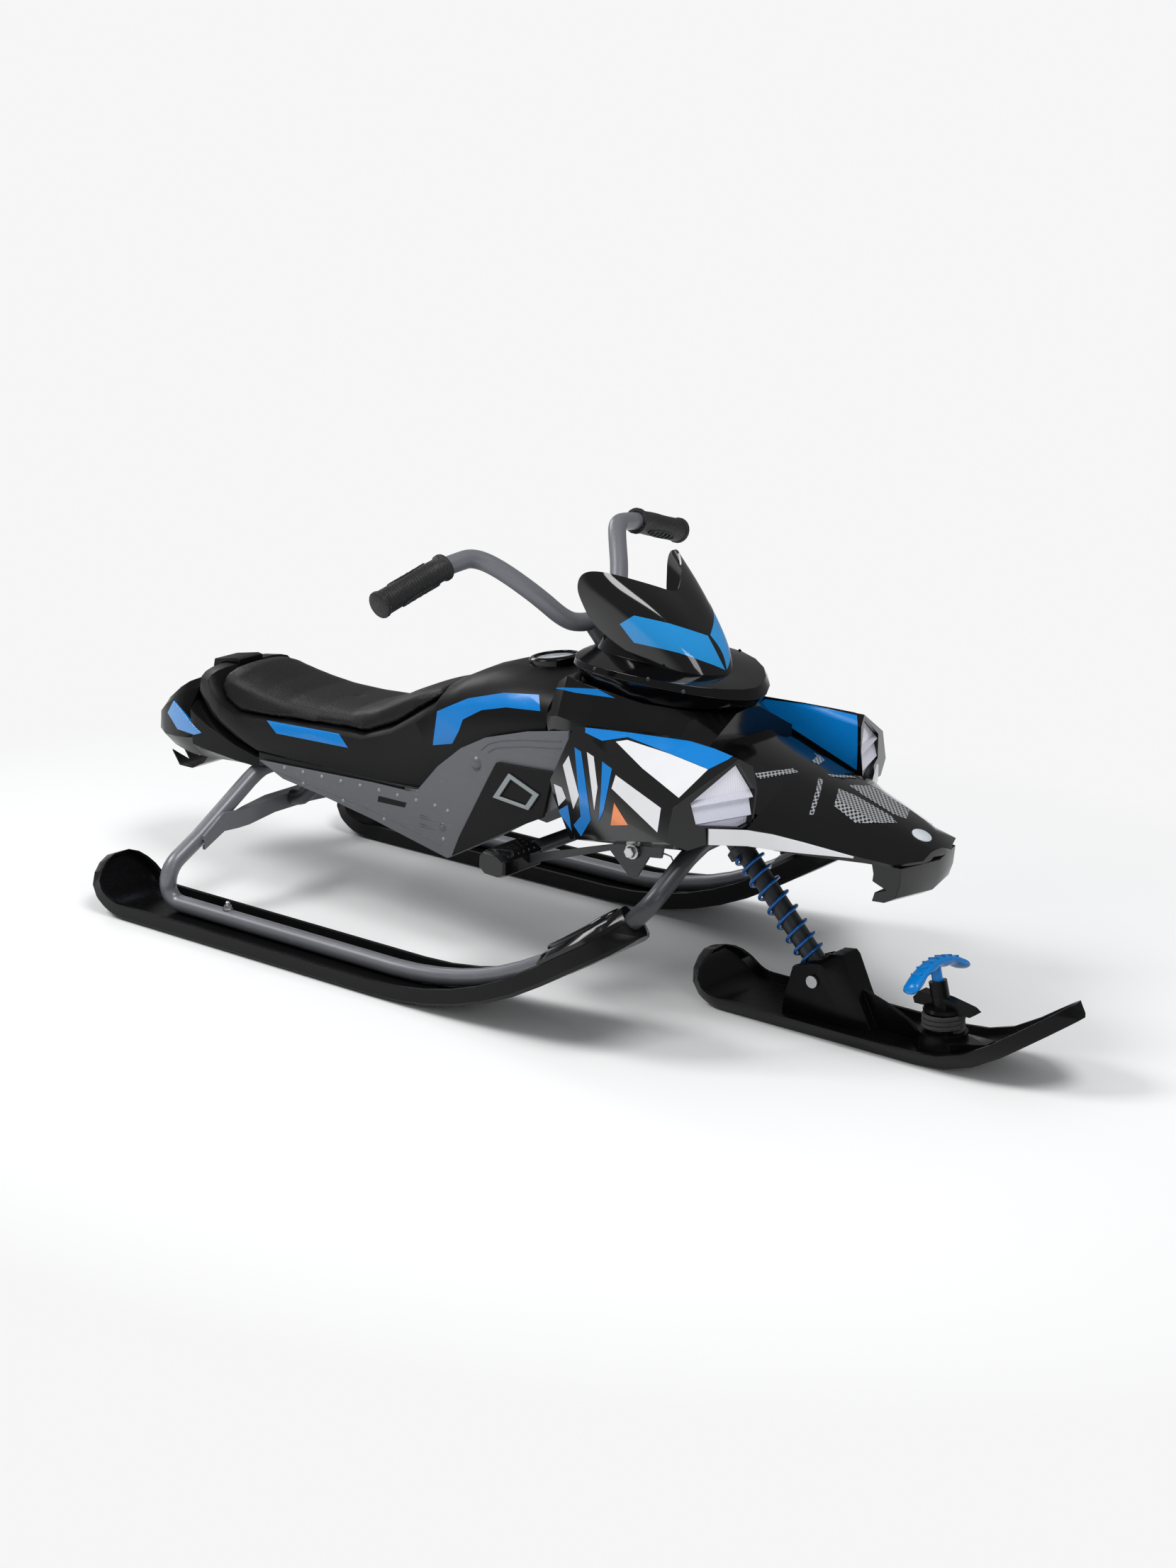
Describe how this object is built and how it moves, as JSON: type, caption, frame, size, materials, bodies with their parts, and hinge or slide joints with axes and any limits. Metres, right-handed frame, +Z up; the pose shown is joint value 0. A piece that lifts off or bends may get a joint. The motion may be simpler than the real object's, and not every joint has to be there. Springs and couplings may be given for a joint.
{
  "type": "steerable snow trike sled",
  "caption": "Ride-on snow trike on skis: tubular steel frame, moulded seat and nose body, sprung handlebar-steered front ski, foot lever and tow rope.",
  "frame": {"origin": "middle of the plan bounding box, on the ground plane that the ski soles rest on", "axes": "+X toward the nose and the front ski, +Y to the rider's left, +Z up"},
  "size_m": [1.266, 0.5124, 0.4733],
  "materials": {
    "frame_grey": "satin grey paint",
    "frame_dark": "satin dark grey paint",
    "ski_plastic": "moulded black plastic",
    "shoe_plastic": "glossy black plastic",
    "seat_vinyl": "black grained vinyl",
    "body_plastic": "black body plastic",
    "gloss_plastic": "high gloss black plastic",
    "disc_plastic": "light glossy plastic",
    "light_blue": "bright blue plastic",
    "panel_plastic": "grey moulded plastic",
    "trim_plastic": "light grey plastic",
    "screen_plastic": "smoked glossy plastic",
    "lamp_reflector": "faceted silver reflector",
    "strip_white": "white plastic",
    "grip_rubber": "black grip rubber",
    "spring_steel": "blue coated spring wire",
    "rope_cord": "black braided cord",
    "lever_steel": "dark coated steel plate",
    "zinc_steel": "zinc plated steel"
  },
  "bodies": {
    "frame": {"runner_tube": "frame_grey", "front_hoop": "frame_dark", "rear_brace": "frame_grey", "spine_tube": "frame_dark", "head_tube": "frame_dark", "lever_pivot_tube": "frame_dark", "head_gusset": "frame_dark", "rear_ski_left": "ski_plastic", "rear_ski_right": "ski_plastic", "ski_shoe_left": "shoe_plastic", "ski_shoe_right": "shoe_plastic", "seat_shell": "body_plastic", "filler_ring": "gloss_plastic", "filler_lid": "disc_plastic", "seat_pad": "seat_vinyl", "seat_tab": "body_plastic", "tail_cowl": "gloss_plastic", "tail_light_left": "light_blue", "tail_light_right": "light_blue", "tail_flap": "ski_plastic", "side_panel_left": "panel_plastic", "side_panel_right": "panel_plastic", "panel_inset_left": "body_plastic", "panel_inset_right": "body_plastic", "window_trim_left": "trim_plastic", "window_trim_right": "trim_plastic", "cowl_core": "body_plastic", "instrument_pod": "gloss_plastic", "windshield": "screen_plastic", "nose_cowl": "body_plastic", "nose_badge": "disc_plastic", "fender_left": "body_plastic", "fender_right": "body_plastic", "headlight_left": "lamp_reflector", "headlight_right": "lamp_reflector", "nose_skirt_left": "strip_white", "nose_skirt_right": "strip_white", "bumper": "body_plastic"},
    "steering": {"steering_stem": "frame_dark", "handlebar": "frame_grey", "grip_left": "grip_rubber", "grip_right": "grip_rubber", "coil_spring": "spring_steel"},
    "fork": {"fork_tube": "frame_dark"},
    "front_ski": {"front_ski": "ski_plastic", "ski_tower": "ski_plastic", "pivot_bolt": "zinc_steel", "cleat_post": "ski_plastic", "tow_rope": "rope_cord"},
    "tow_handle": {"tow_handle": "light_blue"},
    "foot_lever": {"foot_bar": "lever_steel", "foot_pedal_left": "shoe_plastic", "foot_pedal_right": "shoe_plastic", "brake_claw_left": "lever_steel", "brake_claw_right": "lever_steel", "pivot_bolt_left": "zinc_steel", "pivot_bolt_right": "zinc_steel", "claw_spring_left": "zinc_steel", "claw_spring_right": "zinc_steel"}
  },
  "joints": [
    {"name": "steer", "type": "hinge", "parent": "frame", "child": "steering", "pos_m": [0.3208, 0, 0.0634], "axis": [-0.6819, 0, 0.7315], "range_deg": [-22, 22]},
    {"name": "suspension", "type": "slide", "parent": "steering", "child": "fork", "axis": [-0.6819, 0, 0.7315], "range_m": [0, 0.03], "stiffness_N_per_m": 2000, "springref_m": -0.03, "deforming": ["coil_spring"]},
    {"name": "ski_pitch", "type": "hinge", "parent": "fork", "child": "front_ski", "pos_m": [0.332, 0, 0.0514], "axis": [0, 1, 0], "range_deg": [-10, 12]},
    {"name": "tow_handle_lift", "type": "slide", "parent": "front_ski", "child": "tow_handle", "axis": [-0.2421, 0, 0.9703], "range_m": [0, 0.022]},
    {"name": "brake_lever", "type": "hinge", "parent": "frame", "child": "foot_lever", "pos_m": [0.171, 0, 0.184], "axis": [0, -1, 0], "range_deg": [0, 18], "stiffness_Nm_per_rad": 8, "springref_deg": -12.03}
  ]
}
